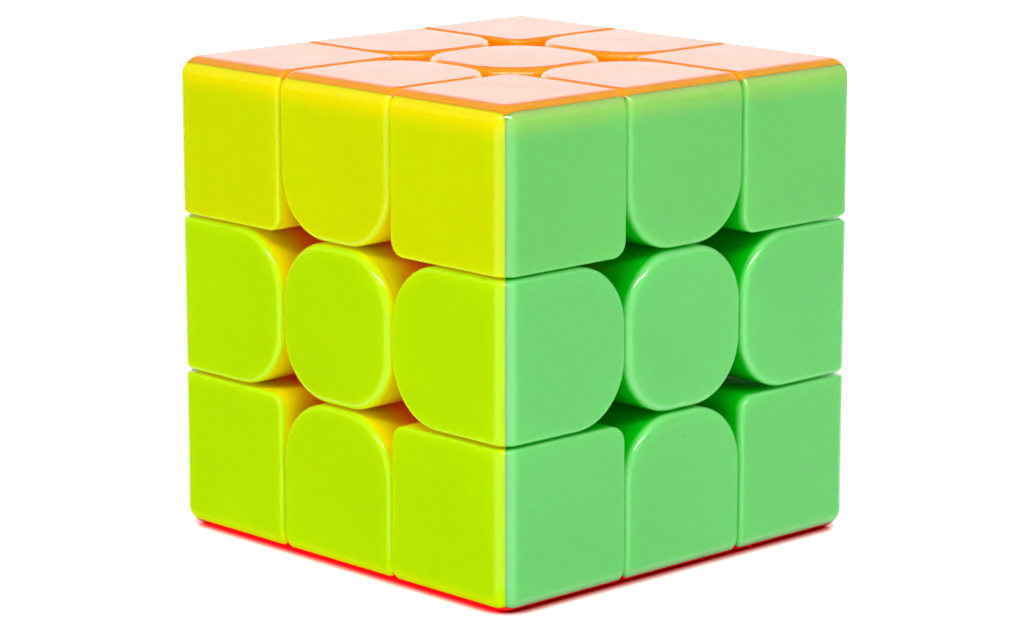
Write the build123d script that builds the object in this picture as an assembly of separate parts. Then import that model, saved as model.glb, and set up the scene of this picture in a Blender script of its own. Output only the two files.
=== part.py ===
"""A 3 x 3 x 3 twisty puzzle cube with solid-coloured plastic cubies, held together by a six-armed core.

Millimetres, +Z up, the origin at the middle of the bottom face. Faces are named as solvers name them:
U up (orange), D down (red), F front (green, -Y), B back (blue, +Y), L left (yellow, -X), R right (white, +X).
Every cubie is modelled once, around the middle of the cube and facing +Z, and is then turned into its places.
"""

import os

from build123d import *

# The whole puzzle
CUBE = 56.0
HALF = CUBE / 2
LAYER = CUBE / 6  # from the middle of the cube to the plane between two layers
GAP = 0.15  # each cubie stands back this far from every plane or ball it shares with a neighbour

# The outside of the cubies
OUTER = 2.3  # rounding along the edges of the whole cube, with the seam between two colours in its middle
CORNER_RIM = 0.5  # rounding of a corner cubie's coloured faces where they meet the next cubie
EDGE_RIM = 0.8  # the same on an edge cubie
CENTRE_RIM = 1.1  # and around a centre
SMALL = 1.9  # rounding of a corner cubie's edges that face a centre
LARGE = 7.2  # rounding of the edges that open the star-shaped windows, on edge and centre cubies
WALL = 1.6

# The hidden mechanism: inside this ball the layers are parted nearer the middle, so each cubie has a foot
BALL = 20.6
FOOT_PLANE = 5.6
FOOT_INSIDE = 14.2
FOOT_ROUND = 1.6

# Centres, which are screwed to the core
STALK_BOTTOM = 13.4
STALK_FLOOR = 2.0
SPRING_BORE = 7.4
SCREW_CLEARANCE = 3.7
POCKET_BOTTOM = 22.6
CAP_SEAM = 26.5
SEAM = 0.12
SKIRT_DEPTH = 2.4
SKIRT = 1.1
CAP_CLEARANCE = 0.05

# Core, screws, springs and washers
CORE_BALL = 7.6
ARM = 7.0
ARM_END = 13.1
SCREW = 3.0
SCREW_TIP = 6.6
SCREW_HEAD = 5.6
HEAD_HEIGHT = 1.7
HEAD_SEAT = 21.3
DRIVE_SLOT = 0.8
DRIVE_LENGTH = 3.0
DRIVE_DEPTH = 1.0
WASHER = 6.6
WASHER_BORE = 3.2
WASHER_THICKNESS = 0.6
SPRING_WIRE = 0.6
SPRING_RADIUS = 2.8
SPRING_TURNS = 5
SPRING_CLEARANCE = 0.05

NORMALS = {
    "u": Vector(0, 0, 1),
    "d": Vector(0, 0, -1),
    "f": Vector(0, -1, 0),
    "b": Vector(0, 1, 0),
    "l": Vector(-1, 0, 0),
    "r": Vector(1, 0, 0),
}
COLOURS = {"u": "orange", "d": "red", "f": "green", "b": "blue", "l": "yellow", "r": "white"}
CORNERS = ["ufr", "ufl", "ubr", "ubl", "dfr", "dfl", "dbr", "dbl"]
EDGES = ["uf", "ub", "ul", "ur", "df", "db", "dl", "dr", "fr", "fl", "br", "bl"]


def box_between(x0, x1, y0, y1, z0, z1):
    """A box from its lowest and highest corners."""
    middle = Pos((x0 + x1) / 2, (y0 + y1) / 2, (z0 + z1) / 2)
    return middle * Box(x1 - x0, y1 - y0, z1 - z0)


def near(value, target):
    """Whether two lengths are the same, to a thousandth of a millimetre."""
    return abs(value - target) < 0.001


def corner_box(low, high, inner):
    """A cube from low to high on all three axes, the three edges at its low corner rounded."""
    block = box_between(low, high, low, high, low, high)
    deep = [e for e in block.edges() if max(tuple(e.center())) < high - 0.001]
    return fillet(deep, inner)


def corner_block(low):
    """The outside of a corner cubie: its outer edges rounded, then the rims of its three side faces."""
    block = corner_box(low, HALF, SMALL)
    outer = [e for e in block.edges() if sum(near(c, HALF) for c in tuple(e.center())) == 2]
    block = fillet(outer, OUTER)
    rims = []
    for edge in block.edges():
        at = sorted(tuple(edge.center()))
        straight = near(at[0], low) and near(at[2], HALF)
        round_outside = near(at[0], low) and at[1] > HALF - OUTER + 0.01
        round_inside = near(at[2], HALF) and at[1] < low + SMALL - 0.01
        if straight or round_outside or round_inside:
            rims.append(edge)
    return fillet(rims, CORNER_RIM)


def edge_box(low, high, width, inner):
    """A bar along Y from low to high on X and Z, rounded where its two inner faces turn to its ends."""
    bar = box_between(low, high, -width, width, low, high)
    along_z = [e for e in bar.edges().filter_by(Axis.Z) if e.center().X < low + 0.001]
    upright = fillet(along_z, inner)
    along_x = [e for e in bar.edges().filter_by(Axis.X) if e.center().Z < low + 0.001]
    level = fillet(along_x, inner)
    return upright & level


def edge_block(low, width):
    """The outside of an edge cubie: its outer edge rounded, then the rims of both coloured faces."""
    block = edge_box(low, HALF, width, LARGE)
    outer = [e for e in block.edges() if near(e.center().X, HALF) and near(e.center().Z, HALF)]
    block = fillet(outer, OUTER)
    rims = []
    for edge in block.edges():
        at = edge.center()
        inner, high = sorted((at.X, at.Z))
        on_face = near(high, HALF) and not near(inner, HALF - OUTER)
        at_end = near(abs(at.Y), width) and inner > HALF - OUTER + 0.01
        if on_face or at_end:
            rims.append(edge)
    return fillet(rims, EDGE_RIM)


def rounded_square(width, radius, z0, z1):
    """A square column about the Z axis with rounded corners."""
    column = box_between(-width, width, -width, width, z0, z1)
    return fillet(column.edges().filter_by(Axis.Z), radius)


def face_part(cubie):
    """The share of a cubie that belongs to the face +Z: what lies inside the mitre planes of that face."""
    kept = split(cubie, bisect_by=Plane(origin=(0, 0, 0), z_dir=(-1, 0, 1)), keep=Keep.TOP)
    return split(kept, bisect_by=Plane(origin=(0, 0, 0), z_dir=(0, -1, 1)), keep=Keep.TOP)


def corner_part():
    """The coloured part of a corner cubie that faces +Z, with its third of the foot."""
    low = LAYER + GAP
    block = corner_block(low)
    foot = corner_box(FOOT_PLANE + GAP, BALL, FOOT_ROUND) & Sphere(BALL - GAP)
    hollow = box_between(low + WALL, HALF - WALL, low + WALL, HALF - WALL, low + WALL, HALF - WALL)
    hollow -= Sphere(BALL + GAP + WALL)
    inset = FOOT_PLANE + GAP + WALL
    foot_hollow = box_between(inset, BALL, inset, BALL, inset, BALL) & Sphere(BALL - GAP - WALL)
    foot_hollow -= Sphere(FOOT_INSIDE + WALL)
    return face_part(block + foot - Sphere(FOOT_INSIDE) - hollow - foot_hollow)


def edge_part():
    """The coloured part of an edge cubie that faces +Z and lies towards +X, with its half of the foot."""
    low = LAYER + GAP
    width = LAYER - GAP
    block = edge_block(low, width)
    foot_low = FOOT_PLANE + GAP
    foot_width = FOOT_PLANE - GAP
    slab = box_between(0, HALF, -foot_width, foot_width, 0, HALF)
    neck = block & slab & Sphere(BALL + GAP)
    foot = edge_box(foot_low, BALL, foot_width, FOOT_ROUND) & Sphere(BALL - GAP)
    hollow = edge_box(low + WALL, HALF - WALL, width - WALL, LARGE - WALL)
    hollow -= Sphere(BALL + GAP + WALL)
    inset = foot_low + WALL
    inset_width = foot_width - WALL
    foot_hollow = box_between(inset, BALL, -inset_width, inset_width, inset, BALL)
    foot_hollow = (foot_hollow & Sphere(BALL - GAP - WALL)) - Sphere(FOOT_INSIDE + WALL)
    cubie = (block - Sphere(BALL + GAP)) + neck + foot
    return face_part(cubie - Sphere(FOOT_INSIDE) - hollow - foot_hollow)


def centre_base():
    """The part of a centre that the screw holds: a square stalk under a rounded tray."""
    width = LAYER - GAP
    tray = rounded_square(width, LARGE, LAYER, CAP_SEAM) - Sphere(BALL + GAP)
    stalk = rounded_square(FOOT_PLANE - GAP, FOOT_ROUND, STALK_BOTTOM, POCKET_BOTTOM)
    pocket = rounded_square(width - WALL, LARGE - WALL, POCKET_BOTTOM, CAP_SEAM)
    floor_top = STALK_BOTTOM + STALK_FLOOR
    bore = Pos(0, 0, (floor_top + HALF) / 2) * Cylinder(SPRING_BORE / 2, HALF - floor_top)
    screw_hole = Pos(0, 0, HALF / 2) * Cylinder(SCREW_CLEARANCE / 2, HALF)
    return tray + stalk - pocket - bore - screw_hole


def centre_cap():
    """The coloured cap that covers the screw: a plate with a skirt that plugs into the tray."""
    width = LAYER - GAP
    plate = rounded_square(width, LARGE, CAP_SEAM + SEAM, HALF)
    top = plate.faces().sort_by(Axis.Z)[-1]
    plate = fillet(top.edges(), CENTRE_RIM)
    outside = width - WALL - CAP_CLEARANCE
    plug = rounded_square(outside, LARGE - WALL, CAP_SEAM - SKIRT_DEPTH, CAP_SEAM + 2 * SEAM)
    room = rounded_square(outside - SKIRT, LARGE - WALL - SKIRT, CAP_SEAM - SKIRT_DEPTH, CAP_SEAM + SEAM)
    return plate + plug - room


def core():
    """The middle of the puzzle: a ball with six arms, each with a hole for a screw."""
    body = Sphere(CORE_BALL)
    holes = []
    for normal in NORMALS.values():
        along = Plane(origin=(0, 0, 0), z_dir=normal).location
        body += along * Pos(0, 0, ARM_END / 2) * Cylinder(ARM / 2, ARM_END)
        depth = ARM_END - SCREW_TIP
        holes.append(along * Pos(0, 0, SCREW_TIP + depth / 2) * Cylinder(SCREW / 2, depth))
    for hole in holes:
        body -= hole
    return body


def screw():
    """A cross-head screw that stands on +Z with its head outwards."""
    length = HEAD_SEAT - SCREW_TIP
    shank = Pos(0, 0, SCREW_TIP + length / 2) * Cylinder(SCREW / 2, length)
    shank = chamfer(shank.faces().sort_by(Axis.Z)[0].edges(), SCREW / 4)
    head = Pos(0, 0, HEAD_SEAT + HEAD_HEIGHT / 2) * Cylinder(SCREW_HEAD / 2, HEAD_HEIGHT)
    head = fillet(head.faces().sort_by(Axis.Z)[-1].edges(), HEAD_HEIGHT / 3)
    top = HEAD_SEAT + HEAD_HEIGHT
    drive = Pos(0, 0, top) * Box(DRIVE_LENGTH, DRIVE_SLOT, 2 * DRIVE_DEPTH)
    drive += Pos(0, 0, top) * Box(DRIVE_SLOT, DRIVE_LENGTH, 2 * DRIVE_DEPTH)
    return shank + head - drive


def washer():
    """A flat washer under a screw head."""
    middle = HEAD_SEAT - WASHER_THICKNESS / 2
    ring = Cylinder(WASHER / 2, WASHER_THICKNESS) - Cylinder(WASHER_BORE / 2, WASHER_THICKNESS)
    return Pos(0, 0, middle) * ring


def spring():
    """A coil spring between the floor of a centre's stalk and the washer."""
    bottom = STALK_BOTTOM + STALK_FLOOR + SPRING_CLEARANCE + SPRING_WIRE / 2
    top = HEAD_SEAT - WASHER_THICKNESS - SPRING_CLEARANCE - SPRING_WIRE / 2
    height = top - bottom
    path = Pos(0, 0, bottom) * Helix(height / SPRING_TURNS, height, SPRING_RADIUS)
    start = Plane(origin=path @ 0, z_dir=path % 0)
    return sweep(start * Circle(SPRING_WIRE / 2), path=path, is_frenet=True)


def turned(part, normal, towards):
    """The part turned from +Z to face normal, and from +X to lie towards the second direction."""
    place = Plane(origin=(0, 0, 0), x_dir=towards, z_dir=normal).location
    return place * part


def six_of(part):
    """One copy of a part on each arm of the core, as a group of separate solids."""
    copies = []
    for name, normal in NORMALS.items():
        side = NORMALS["f"] if name in "ud" else NORMALS["u"]
        copies += turned(part, normal, side).solids()
    return Compound(copies)


def save(part, name):
    """Stand a part on the table height and write its file."""
    raised = Pos(0, 0, HALF) * part
    raised.label = name
    export_step(raised, "parts/" + name + ".step")


def main():
    os.makedirs("parts", exist_ok=True)
    corner = corner_part()
    for faces in CORNERS:
        for face in faces:
            others = [NORMALS[f] for f in faces if f != face]
            normal = NORMALS[face]
            handed = normal.cross(others[0]).dot(others[1]) > 0
            towards = others[0] if handed else others[1]
            save(turned(corner, normal, towards), "corner_" + faces + "_" + COLOURS[face])
    edge = edge_part()
    for faces in EDGES:
        for face, other in (faces, faces[::-1]):
            name = "edge_" + faces + "_" + COLOURS[face]
            save(turned(edge, NORMALS[face], NORMALS[other]), name)
    centre = Compound(centre_base().solids() + centre_cap().solids())
    for face in COLOURS:
        side = NORMALS["f"] if face in "ud" else NORMALS["u"]
        save(turned(centre, NORMALS[face], side), "centre_" + face + "_" + COLOURS[face])
    save(core(), "core")
    save(six_of(screw()), "screws")
    save(six_of(washer()), "washers")
    save(six_of(spring()), "springs")


main()
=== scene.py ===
"""Looks for a 3 x 3 x 3 twisty puzzle cube: moulded plastic in six colours, standing on a bright floor.

Every piece is a CAD node with its right shape, so this script gives each a procedural material and sets the
floor, the light and the camera. The materials read object coordinates, which stay with a piece as it turns.
"""

import math

import bpy
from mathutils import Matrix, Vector


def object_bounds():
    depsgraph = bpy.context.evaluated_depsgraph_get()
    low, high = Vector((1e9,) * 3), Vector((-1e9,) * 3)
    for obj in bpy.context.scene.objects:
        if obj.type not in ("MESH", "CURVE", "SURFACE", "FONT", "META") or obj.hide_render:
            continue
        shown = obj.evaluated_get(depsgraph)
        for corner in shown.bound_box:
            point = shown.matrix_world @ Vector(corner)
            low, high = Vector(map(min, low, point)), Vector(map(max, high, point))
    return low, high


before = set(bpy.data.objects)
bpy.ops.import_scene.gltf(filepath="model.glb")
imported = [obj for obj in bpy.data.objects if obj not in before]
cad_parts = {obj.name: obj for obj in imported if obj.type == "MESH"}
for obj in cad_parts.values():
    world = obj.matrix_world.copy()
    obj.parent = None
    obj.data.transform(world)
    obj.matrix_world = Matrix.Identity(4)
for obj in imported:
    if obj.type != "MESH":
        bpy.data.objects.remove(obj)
cad_low, cad_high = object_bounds()

HALF = (cad_high - cad_low).z / 2
CENTRE = (cad_low + cad_high) / 2
MM = 0.001
LAYER = 2 * HALF / 3

# How far below the cube's outside the plastic's colour changes, from the start of each change to its end: a
# painted highlight on the rims, then painted shade on the walls and further down, and the share of their
# painted highlight that the rims take on.
RIM_HIGHLIGHT_DEPTH = (0.0, 0.20 * MM)
WALL_SHADE_DEPTH = (0.30 * MM, 1.3 * MM)
DEEP_SHADE_DEPTH = (2.0 * MM, 7.5 * MM)
RIM_HIGHLIGHT_SHARE = 0.9

# Daylight that comes through the plastic: how far it scatters inside, then a painted glow of it, an emission
# from
# the gaps: how bright it leaves the gaps, and the share of that left further inside.
SCATTER_DISTANCE = 4.0 * MM
GLOW_STRENGTH = 0.16
GLOW_DEPTH = (0.2 * MM, 0.6 * MM)
GLOW_FADE_DEPTH = (0.8 * MM, 3.5 * MM)
GLOW_LEFT = 0.2

# Hands polish the rims, which start and end at these depths, and the table dulls the lowest ones.
POLISH_START = (0.01 * MM, 0.12 * MM)
POLISH_END = (0.7 * MM, 1.2 * MM)
POLISH_ABOVE_TABLE = (2.0 * MM, 4.0 * MM)

# How far down from the top face the painted light from the orange plastic reaches.
TOP_LAYER_SOFTNESS = 0.4 * MM
TOP_EDGE_REACH = (0.6 * MM, 4.5 * MM)

# Colours of the moulded plastics, linear: a flat face, its rounded rims, made lighter as a painted highlight,
# the walls between cubies and further inside the windows, both painted: darker as shade, and on yellow and
# orange shifted to orange as light through the plastic. specular is how strongly a flat face mirrors the
# studio, shine is the same for the rims, and spread is how far red, green and blue light travel under the
# surface, as shares of the longest way.
PLASTICS = {
    "yellow_plastic": {
        "face": (0.385, 0.625, 0.0), "rim_highlight": (0.43, 0.69, 0.0), "wall_shade": (0.70, 0.60, 0.001),
        "deep_shade": (1.0, 0.22, 0.001), "specular": 0.01, "shine": 0.6, "spread": (1.0, 0.45, 0.05),
    },
    "green_plastic": {
        "face": (0.125, 0.515, 0.125), "rim_highlight": (0.18, 0.59, 0.18), "wall_shade": (0.001, 0.44, 0.004),
        "deep_shade": (0.001, 0.40, 0.001), "specular": 0.40, "shine": 0.6, "spread": (0.2, 1.0, 0.2),
    },
    "orange_plastic": {
        "face": (0.97, 0.137, 0.012), "rim_highlight": (1.0, 0.30, 0.0), "wall_shade": (0.95, 0.25, 0.0),
        "deep_shade": (0.95, 0.14, 0.0), "specular": 0.45, "shine": 0.3, "spread": (1.0, 0.4, 0.05),
    },
    "red_plastic": {
        "face": (0.80, 0.002, 0.002), "rim_highlight": (0.88, 0.001, 0.001), "wall_shade": (0.80, 0.001, 0.001),
        "deep_shade": (0.55, 0.001, 0.001), "specular": 0.10, "shine": 0.1, "spread": (1.0, 0.2, 0.1),
    },
    "blue_plastic": {
        "face": (0.010, 0.14, 0.62), "rim_highlight": (0.02, 0.20, 0.72), "wall_shade": (0.001, 0.09, 0.62),
        "deep_shade": (0.001, 0.04, 0.40), "specular": 0.45, "shine": 0.6, "spread": (0.2, 0.4, 1.0),
    },
    "white_plastic": {
        "face": (0.74, 0.74, 0.72), "rim_highlight": (0.80, 0.80, 0.79), "wall_shade": (0.62, 0.62, 0.64),
        "deep_shade": (0.42, 0.42, 0.45), "specular": 0.45, "shine": 0.6, "spread": (1.0, 0.9, 0.8),
    },
}

# Painted light from the orange plastic on the same cubie: a colour and its share over the whole top layer,
# then another pair right at the top edge. On green the colour for the whole top layer is darker, painted
# shade as well.
TOP_LAYER_PAINTED_LIGHT = {
    "yellow_plastic": ((0.86, 0.42, 0.0), 0.22, (1.0, 0.62, 0.0), 0.55),
    "green_plastic": ((0.12, 0.34, 0.02), 0.18, (0.50, 0.62, 0.06), 0.40),
}

# The floor. Painted red light and shade from under the cube reach this far beyond its flat underside, in the
# floor's colour and glow, and the floor beside the lit sides, which face along x, gets more of it than beside
# the shaded ones.
FLOOR_SIZE = 4.0
FLOOR_WHITE = (0.94, 0.94, 0.94)
UNDERSIDE_HALF = HALF - 4 * MM
PAINTED_RED_REACH = (2.6 * MM, 4.6 * MM)
RED_GLOW_REACH = (3.3 * MM, 5.0 * MM)
LIT_SIDE = (-1.0 * MM, 3.0 * MM)
RED_SHADED = (0.58, 0.01, 0.01)
RED_LIT = (0.95, 0.02, 0.03)
RED_GLOW = (1.0, 0.01, 0.02)
RED_GLOW_STRENGTH = 0.45
FLOOR_GLOW_STRENGTH = 0.42

# Soft boxes: direction from the cube, distance, width, height, and brightness, where 1 is seen as pure white.
LIGHTS = {
    "backdrop_light": ((0.69, 0.72, 0.21), 1.2, 1.6, 0.7, 1.20),
    "upper_backdrop_light": ((0.64, 0.67, 0.38), 1.2, 1.6, 0.20, 0.4),
    "key_light": ((-0.45, -0.46, 0.77), 0.9, 1.1, 0.11, 22.0),
    "front_light": ((-0.66, -0.69, 0.30), 1.2, 0.8, 0.5, 0.9),
}
ROOM_BRIGHTNESS = 0.42

# The camera, from the cube's middle, with its angles in degrees and its lens in millimetres.
CAMERA_AZIMUTH = -43.6
CAMERA_ELEVATION = 11.63
CAMERA_DISTANCE = 0.437
CAMERA_LENS = 130.9
CAMERA_SHIFT = (-0.0021, -0.0193)

# Sockets of the colour Mix node, which share their names with the sockets for numbers.
MIX_A, MIX_B, MIX_RESULT = 6, 7, 2

# What keeps the cube's outer planes from falling into the next cell when space is cut into cubies.
CELL_INSET = 0.001


class Nodes:
    """Short calls for building one material's node tree."""

    def __init__(self, name):
        self.material = bpy.data.materials.new(name)
        self.material.use_nodes = True
        self.tree = self.material.node_tree
        self.shader = self.tree.nodes["Principled BSDF"]
        self.object_point = self.tree.nodes.new("ShaderNodeTexCoord").outputs["Object"]

    def put(self, value, socket):
        """Links an output to a socket, or sets a plain value on it."""
        if isinstance(value, bpy.types.NodeSocket):
            self.tree.links.new(value, socket)
        else:
            socket.default_value = value

    def math(self, operation, a, b=0.0):
        node = self.tree.nodes.new("ShaderNodeMath")
        node.operation = operation
        self.put(a, node.inputs[0])
        self.put(b, node.inputs[1])
        return node.outputs[0]

    def ramp(self, value, low, high, to_low=0.0, to_high=1.0):
        """A smooth step of value, from to_low at low to to_high at high."""
        node = self.tree.nodes.new("ShaderNodeMapRange")
        node.interpolation_type = "SMOOTHSTEP"
        self.put(value, node.inputs["Value"])
        node.inputs["From Min"].default_value = low
        node.inputs["From Max"].default_value = high
        node.inputs["To Min"].default_value = to_low
        node.inputs["To Max"].default_value = to_high
        return node.outputs["Result"]

    def mix(self, share, a, b):
        node = self.tree.nodes.new("ShaderNodeMix")
        node.data_type = "RGBA"
        self.put(share, node.inputs["Factor"])
        self.put(rgba(a), node.inputs[MIX_A])
        self.put(rgba(b), node.inputs[MIX_B])
        return node.outputs[MIX_RESULT]

    def noise(self, per_metre, detail=2.0, roughness=0.5, stretch=(1, 1, 1)):
        place = self.tree.nodes.new("ShaderNodeMapping")
        place.inputs["Scale"].default_value = Vector(stretch) * per_metre
        self.put(self.object_point, place.inputs["Vector"])
        node = self.tree.nodes.new("ShaderNodeTexNoise")
        node.inputs["Scale"].default_value = 1.0
        node.inputs["Detail"].default_value = detail
        node.inputs["Roughness"].default_value = roughness
        self.put(place.outputs[0], node.inputs["Vector"])
        return node.outputs["Fac"]

    def random_per_cubie(self):
        """A value from 0 to 1 that is the same all over one cubie."""
        place = self.tree.nodes.new("ShaderNodeMapping")
        place.inputs["Location"].default_value = (1.5, 1.5, CELL_INSET)
        place.inputs["Scale"].default_value = Vector((1, 1, 1)) * (1 - CELL_INSET) / LAYER
        self.put(self.object_point, place.inputs["Vector"])
        whole = self.tree.nodes.new("ShaderNodeVectorMath")
        whole.operation = "FLOOR"
        self.put(place.outputs[0], whole.inputs[0])
        dice = self.tree.nodes.new("ShaderNodeTexWhiteNoise")
        self.put(whole.outputs[0], dice.inputs["Vector"])
        return dice.outputs["Value"]

    def specks(self, per_metre, size, share):
        """Round specks: 1 inside one, 0 between them. share of the cells hold one."""
        cells = self.tree.nodes.new("ShaderNodeTexVoronoi")
        cells.inputs["Scale"].default_value = per_metre
        self.put(self.object_point, cells.inputs["Vector"])
        inside = self.ramp(cells.outputs["Distance"], size, size * 0.5)
        pick = self.tree.nodes.new("ShaderNodeSeparateColor")
        self.put(cells.outputs["Color"], pick.inputs[0])
        kept = self.math("GREATER_THAN", pick.outputs[0], 1.0 - share)
        return self.math("MULTIPLY", inside, kept)

    def bump(self, height, distance, strength=1.0, normal=None):
        node = self.tree.nodes.new("ShaderNodeBump")
        node.inputs["Strength"].default_value = strength
        node.inputs["Distance"].default_value = distance
        self.put(height, node.inputs["Height"])
        if normal is not None:
            self.put(normal, node.inputs["Normal"])
        return node.outputs["Normal"]


def rgba(colour):
    return (*colour, 1.0) if isinstance(colour, tuple) and len(colour) == 3 else colour


def scaled(colour, factor):
    return tuple(value * factor for value in colour)


def depth_below_outside(n):
    """How far a point lies inside the cube's six outer planes, and how far above its middle, in metres."""
    split = n.tree.nodes.new("ShaderNodeSeparateXYZ")
    n.put(n.object_point, split.inputs[0])
    height = n.math("SUBTRACT", split.outputs[2], CENTRE.z)
    sides = [n.math("ABSOLUTE", value) for value in (split.outputs[0], split.outputs[1], height)]
    widest = n.math("MAXIMUM", n.math("MAXIMUM", sides[0], sides[1]), sides[2])
    return n.math("SUBTRACT", HALF, widest), height


def plastic(name, face, rim_highlight, wall_shade, deep_shade, specular, shine, spread):
    """Glossy moulded plastic that scatters light under its surface. Its rims carry a painted highlight, its
    gaps a painted glow, its top layer painted light from the orange plastic, and down between cubies its
    colour is painted shade, turning orange on yellow.
    """
    n = Nodes(name)
    depth, height = depth_below_outside(n)

    # each cubie has its own slight tone, clouded a little
    clouds = n.ramp(n.noise(per_metre=45), 0.35, 0.65, 0.0, 0.4)
    tone = n.math("ADD", clouds, n.math("MULTIPLY", n.random_per_cubie(), 0.6))
    colour = n.mix(tone, scaled(face, 0.92), scaled(face, 1.02))

    # painted highlight: the rims are made lighter than the flat face
    colour = n.mix(n.ramp(depth, *RIM_HIGHLIGHT_DEPTH, 0.0, RIM_HIGHLIGHT_SHARE), colour, rim_highlight)
    # painted light from the orange plastic over the top layer and its top edge, and on green painted shade
    # too
    if name in TOP_LAYER_PAINTED_LIGHT:
        top_light, share, top_edge_light, edge_share = TOP_LAYER_PAINTED_LIGHT[name]
        from_top = n.math("SUBTRACT", HALF, height)
        in_top_layer = n.ramp(from_top, LAYER - TOP_LAYER_SOFTNESS, LAYER + TOP_LAYER_SOFTNESS, share, 0.0)
        colour = n.mix(in_top_layer, colour, top_light)
        colour = n.mix(n.ramp(from_top, *TOP_EDGE_REACH, edge_share, 0.0), colour, top_edge_light)

    # painted shade between cubies and inside the windows, orange on yellow as painted light through the
    # plastic
    colour = n.mix(n.ramp(depth, *WALL_SHADE_DEPTH), colour, wall_shade)
    colour = n.mix(n.ramp(depth, *DEEP_SHADE_DEPTH), colour, deep_shade)

    dust = n.specks(per_metre=210, size=0.055, share=0.10)
    colour = n.mix(n.math("MULTIPLY", dust, 0.35), colour, scaled(face, 0.45))
    n.put(colour, n.shader.inputs["Base Color"])

    # painted glow: emission from the gaps stands in for daylight through the plastic
    glow = n.ramp(depth, *GLOW_DEPTH, 0.0, GLOW_STRENGTH)
    glow = n.math("MULTIPLY", glow, n.ramp(depth, *GLOW_FADE_DEPTH, 1.0, GLOW_LEFT))
    n.put(colour, n.shader.inputs["Emission Color"])
    n.put(glow, n.shader.inputs["Emission Strength"])

    streaks = n.noise(per_metre=160, detail=4.0, roughness=0.6, stretch=(1.0, 1.0, 3.5))
    n.put(n.ramp(streaks, 0.3, 0.7, 0.15, 0.21), n.shader.inputs["Roughness"])

    orange_peel = n.bump(n.noise(per_metre=2600), distance=0.004 * MM, strength=0.35)
    n.put(n.bump(dust, distance=0.02 * MM, strength=0.5, normal=orange_peel), n.shader.inputs["Normal"])

    polish = n.ramp(depth, *POLISH_START, 0.0, shine)
    in_reach = n.ramp(depth, *POLISH_END, 1.0, 0.0)
    above_table = n.ramp(height, *(value - HALF for value in POLISH_ABOVE_TABLE))
    polish = n.math("MULTIPLY", n.math("MULTIPLY", polish, in_reach), above_table)
    n.put(polish, n.shader.inputs["Coat Weight"])
    n.shader.inputs["Coat Roughness"].default_value = 0.08
    n.shader.inputs["Coat IOR"].default_value = 1.5
    n.shader.inputs["IOR"].default_value = 1.40
    n.shader.inputs["Specular IOR Level"].default_value = specular
    n.shader.inputs["Subsurface Weight"].default_value = 1.0
    n.shader.inputs["Subsurface Radius"].default_value = spread
    n.shader.inputs["Subsurface Scale"].default_value = SCATTER_DISTANCE
    return n.material


def core_plastic():
    """The core's off-white nylon, matte."""
    n = Nodes("core_plastic")
    clouds = n.ramp(n.noise(per_metre=120, detail=3.0), 0.35, 0.65)
    n.put(n.mix(clouds, (0.60, 0.60, 0.58), (0.66, 0.66, 0.64)), n.shader.inputs["Base Color"])
    uneven = n.noise(per_metre=500, detail=3.0)
    n.put(n.ramp(uneven, 0.3, 0.7, 0.48, 0.60), n.shader.inputs["Roughness"])
    grain = n.noise(per_metre=3500, detail=3.0)
    n.put(n.bump(grain, distance=0.01 * MM, strength=0.4), n.shader.inputs["Normal"])
    return n.material


def steel():
    """Bright drawn and turned steel of the screws, washers and springs."""
    n = Nodes("steel")
    clouds = n.ramp(n.noise(per_metre=400, detail=3.0), 0.3, 0.7)
    n.put(n.mix(clouds, (0.50, 0.50, 0.49), (0.62, 0.62, 0.61)), n.shader.inputs["Base Color"])
    drawn = n.noise(per_metre=900, detail=3.0, roughness=0.6, stretch=(1, 1, 6))
    n.put(n.ramp(drawn, 0.3, 0.7, 0.22, 0.38), n.shader.inputs["Roughness"])
    scratches = n.noise(per_metre=5000, stretch=(1, 1, 8))
    n.put(n.bump(scratches, distance=0.004 * MM, strength=0.5), n.shader.inputs["Normal"])
    n.shader.inputs["Metallic"].default_value = 1.0
    return n.material


def dress_cad_nodes():
    materials = {name: plastic(name, **look) for name, look in PLASTICS.items()}
    materials["core_plastic"] = core_plastic()
    materials["steel"] = steel()
    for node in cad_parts.values():
        slot = node.material_slots[0]
        slot.material = materials[slot.material.name.split(".")[0]]


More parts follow.
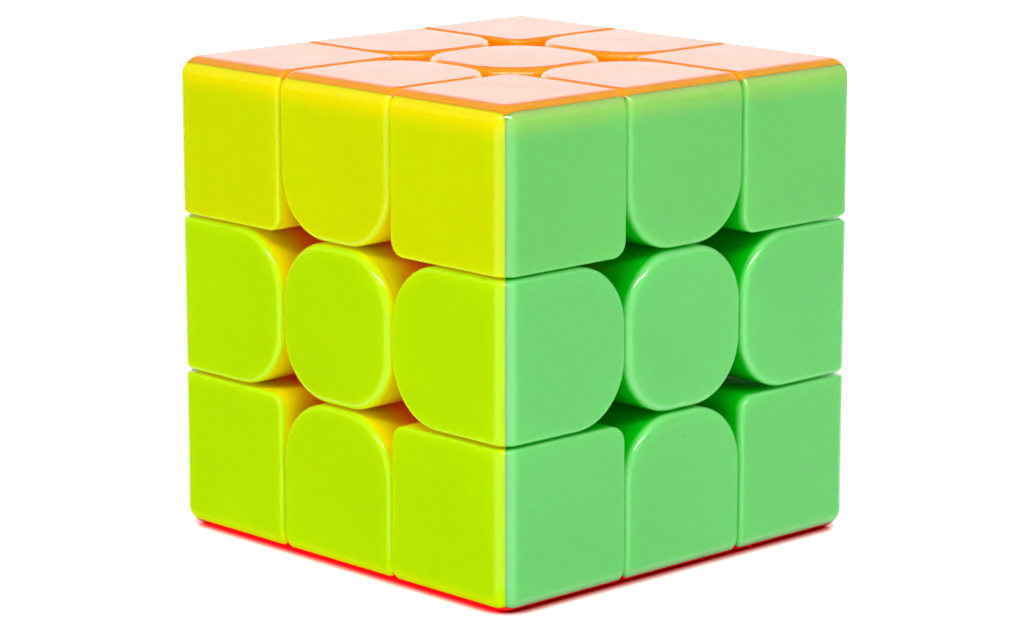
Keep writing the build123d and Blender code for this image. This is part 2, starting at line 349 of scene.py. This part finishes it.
def make_floor():
    """A white glossy floor with an even glow. Beside the cube its colour and glow carry painted red light and
    shade from the cube's own underside.
    """
    corners = [(x * FLOOR_SIZE, y * FLOOR_SIZE, 0) for x, y in ((-1, -1), (1, -1), (1, 1), (-1, 1))]
    mesh = bpy.data.meshes.new("floor")
    mesh.from_pydata(corners, [], [(0, 1, 2, 3)])
    floor = bpy.data.objects.new("floor", mesh)
    bpy.context.scene.collection.objects.link(floor)
    floor.location.z = cad_low.z
    n = Nodes("floor_white_and_painted_red_light")
    split = n.tree.nodes.new("ShaderNodeSeparateXYZ")
    n.put(n.object_point, split.inputs[0])
    across = [n.math("ABSOLUTE", split.outputs[axis]) for axis in (0, 1)]
    beyond = [n.math("MAXIMUM", n.math("SUBTRACT", value, UNDERSIDE_HALF), 0.0) for value in across]
    squares = [n.math("MULTIPLY", value, value) for value in beyond]
    reach = n.math("SQRT", n.math("ADD", *squares))

    # painted red light and shade beside the cube, more of it beside the lit sides along x, in colour and
    # emission
    lit = n.ramp(n.math("SUBTRACT", *across), *LIT_SIDE)
    red = n.mix(lit, RED_SHADED, RED_LIT)
    n.put(n.mix(n.ramp(reach, *PAINTED_RED_REACH), red, FLOOR_WHITE), n.shader.inputs["Base Color"])

    away = n.ramp(reach, *RED_GLOW_REACH)
    n.put(n.mix(away, RED_GLOW, (1, 1, 1)), n.shader.inputs["Emission Color"])
    close = n.math("MULTIPLY", n.math("SUBTRACT", 1.0, away), n.math("MULTIPLY", lit, RED_GLOW_STRENGTH))
    strength = n.math("ADD", close, n.math("MULTIPLY", away, FLOOR_GLOW_STRENGTH))
    n.put(strength, n.shader.inputs["Emission Strength"])
    n.shader.inputs["Roughness"].default_value = 0.18
    mesh.materials.append(n.material)


def area_light(name, direction, distance, width, height, brightness):
    """A soft box aimed at the cube."""
    light = bpy.data.lights.new(name, "AREA")
    light.shape = "RECTANGLE"
    light.size = width
    light.size_y = height
    light.energy = brightness * math.pi * width * height
    box = bpy.data.objects.new(name, light)
    bpy.context.scene.collection.objects.link(box)
    away = Vector(direction).normalized()
    box.location = CENTRE + away * distance
    box.rotation_mode = "QUATERNION"
    box.rotation_quaternion = away.to_track_quat("Z", "Y")


def make_light():
    world = bpy.data.worlds.new("studio")
    bpy.context.scene.world = world
    world.use_nodes = True
    background = world.node_tree.nodes["Background"]
    background.inputs["Color"].default_value = (1, 1, 1, 1)
    background.inputs["Strength"].default_value = ROOM_BRIGHTNESS
    for name, box in LIGHTS.items():
        area_light(name, *box)


def make_camera():
    """Looks at the vertical edge between yellow and green, from a little above."""
    azimuth = math.radians(CAMERA_AZIMUTH)
    elevation = math.radians(CAMERA_ELEVATION)
    level = math.cos(elevation)
    towards = Vector((math.sin(azimuth) * level, -math.cos(azimuth) * level, math.sin(elevation)))
    data = bpy.data.cameras.new("camera")
    data.sensor_width = 36.0
    data.lens = CAMERA_LENS
    data.shift_x, data.shift_y = CAMERA_SHIFT
    data.clip_start = 0.01
    data.clip_end = 50.0
    camera = bpy.data.objects.new("camera", data)
    bpy.context.scene.collection.objects.link(camera)
    camera.location = CENTRE + towards * CAMERA_DISTANCE
    camera.rotation_mode = "QUATERNION"
    camera.rotation_quaternion = towards.to_track_quat("Z", "Y")
    bpy.context.scene.camera = camera


make_camera()
make_floor()
make_light()
dress_cad_nodes()
bpy.context.scene.view_settings.view_transform = "Standard"
